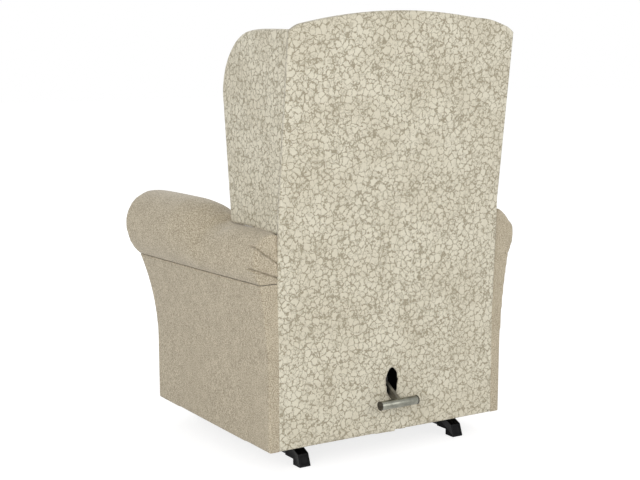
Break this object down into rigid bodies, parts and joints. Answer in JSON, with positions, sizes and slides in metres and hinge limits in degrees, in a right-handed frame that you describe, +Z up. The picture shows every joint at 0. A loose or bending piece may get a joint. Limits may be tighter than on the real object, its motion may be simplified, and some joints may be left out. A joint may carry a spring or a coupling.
{
  "type": "glider chair",
  "caption": "Wing-back upholstered glider recliner with rolled arms on a hanging-link glide base, with a pull-out footrest and a T-handle glide lock at the rear.",
  "frame": {"origin": "on the floor, under the middle of the upright, closed chair's box", "axes": "+Z up, +X towards the sitter's left, -Y the way the sitter faces"},
  "size_m": [0.874, 0.74, 1.082],
  "materials": {
    "black_steel": "black powder coat",
    "black_plastic": "moulded black plastic, fine grain",
    "zinc_steel": "zinc plated",
    "satin_steel": "satin zinc plated tube and bar",
    "shoe_rubber": "matt black rubber",
    "frame_wood": "bare softwood and plywood",
    "webbing": "woven elastic webbing",
    "plain_fabric": "taupe-beige flecked chenille",
    "pebble_fabric": "ecru weave with a fine taupe pebble pattern"
  },
  "bodies": {
    "base": {"base_rail_left": "black_steel", "base_rail_right": "black_steel", "rear_foot_left": "black_plastic", "rear_foot_right": "black_plastic", "front_foot_left": "black_plastic", "front_foot_right": "black_plastic", "rear_cross_tube": "black_steel", "front_cross_tube": "black_steel", "glide_hangers_left": "black_steel", "glide_hangers_right": "black_steel", "hanger_bolts": "zinc_steel", "upper_glide_pins": "zinc_steel", "brake_plate": "black_steel"},
    "front_links": {"front_glide_link_left": "black_steel", "front_glide_link_right": "black_steel"},
    "chair": {"arm_core_left": "plain_fabric", "arm_core_right": "plain_fabric", "arm_facing_left": "plain_fabric", "arm_facing_right": "plain_fabric", "arm_roll_left": "plain_fabric", "arm_roll_right": "plain_fabric", "arm_side_left": "plain_fabric", "arm_side_right": "plain_fabric", "footrest_hip_pins": "zinc_steel", "lever_bracket": "black_steel", "lever_pin": "zinc_steel", "lower_glide_pins": "zinc_steel", "rear_bottom_rail": "frame_wood", "rear_flap": "pebble_fabric", "recline_pins": "zinc_steel", "seat_cushion": "pebble_fabric", "seat_front_rail": "frame_wood", "seat_rail_left": "frame_wood", "seat_rail_right": "frame_wood", "seat_rear_rail": "frame_wood", "seat_side_plate_left": "black_steel", "seat_side_plate_right": "black_steel", "seat_webbing": "webbing"},
    "rear_links": {"rear_glide_link_left": "black_steel", "rear_glide_link_right": "black_steel"},
    "back": {"back_post_left": "frame_wood", "back_post_right": "frame_wood", "back_rails": "frame_wood", "back_brackets": "black_steel", "outside_back": "pebble_fabric", "back_cushion": "pebble_fabric", "wing_left": "pebble_fabric", "wing_right": "pebble_fabric"},
    "footrest_thighs": {"footrest_thigh_links": "black_steel"},
    "footrest_shins": {"footrest_shin_links": "black_steel", "footrest_knee_pins": "zinc_steel"},
    "footrest": {"footrest_lugs": "black_steel", "footrest_ankle_pins": "zinc_steel", "footrest_board": "frame_wood", "footrest_pad": "plain_fabric"},
    "lever": {"lever_arm": "satin_steel", "lever_handle": "satin_steel", "brake_shoe": "shoe_rubber"}
  },
  "joints": [
    {"name": "glide", "type": "hinge", "parent": "base", "child": "rear_links", "pos_m": [0, 0.12, 0.19], "axis": [1, 0, 0], "range_deg": [-22, 22]},
    {"name": "seat_level", "type": "hinge", "parent": "rear_links", "child": "chair", "pos_m": [0, 0.12, 0.08], "axis": [1, 0, 0], "range_deg": [-22, 22]},
    {"name": "front_glide", "type": "hinge", "parent": "base", "child": "front_links", "pos_m": [0, -0.12, 0.19], "axis": [1, 0, 0], "range_deg": [-22, 22]},
    {"name": "recline", "type": "hinge", "parent": "chair", "child": "back", "pos_m": [0, 0.27, 0.328], "axis": [-1, 0, 0], "range_deg": [0, 25]},
    {"name": "footrest_swing", "type": "hinge", "parent": "chair", "child": "footrest_thighs", "pos_m": [0, -0.23, 0.29], "axis": [-1, 0, 0], "range_deg": [0, 50]},
    {"name": "footrest_knee", "type": "hinge", "parent": "footrest_thighs", "child": "footrest_shins", "pos_m": [0, -0.26299, 0.10289], "axis": [-1, 0, 0], "range_deg": [-100, 0]},
    {"name": "footrest_tilt", "type": "hinge", "parent": "footrest_shins", "child": "footrest", "pos_m": [0, -0.29599, 0.29], "axis": [-1, 0, 0], "range_deg": [0, 130]},
    {"name": "lock_lever", "type": "hinge", "parent": "chair", "child": "lever", "pos_m": [0, 0.262, 0.182], "axis": [1, 0, 0], "range_deg": [0, 40]}
  ],
  "couplings": [
    {"joint": "seat_level", "follows": "glide", "ratio": -1},
    {"joint": "front_glide", "follows": "glide", "ratio": 1},
    {"joint": "footrest_swing", "follows": "recline", "ratio": 2},
    {"joint": "footrest_knee", "follows": "recline", "ratio": -4},
    {"joint": "footrest_tilt", "follows": "recline", "ratio": 5.2}
  ]
}
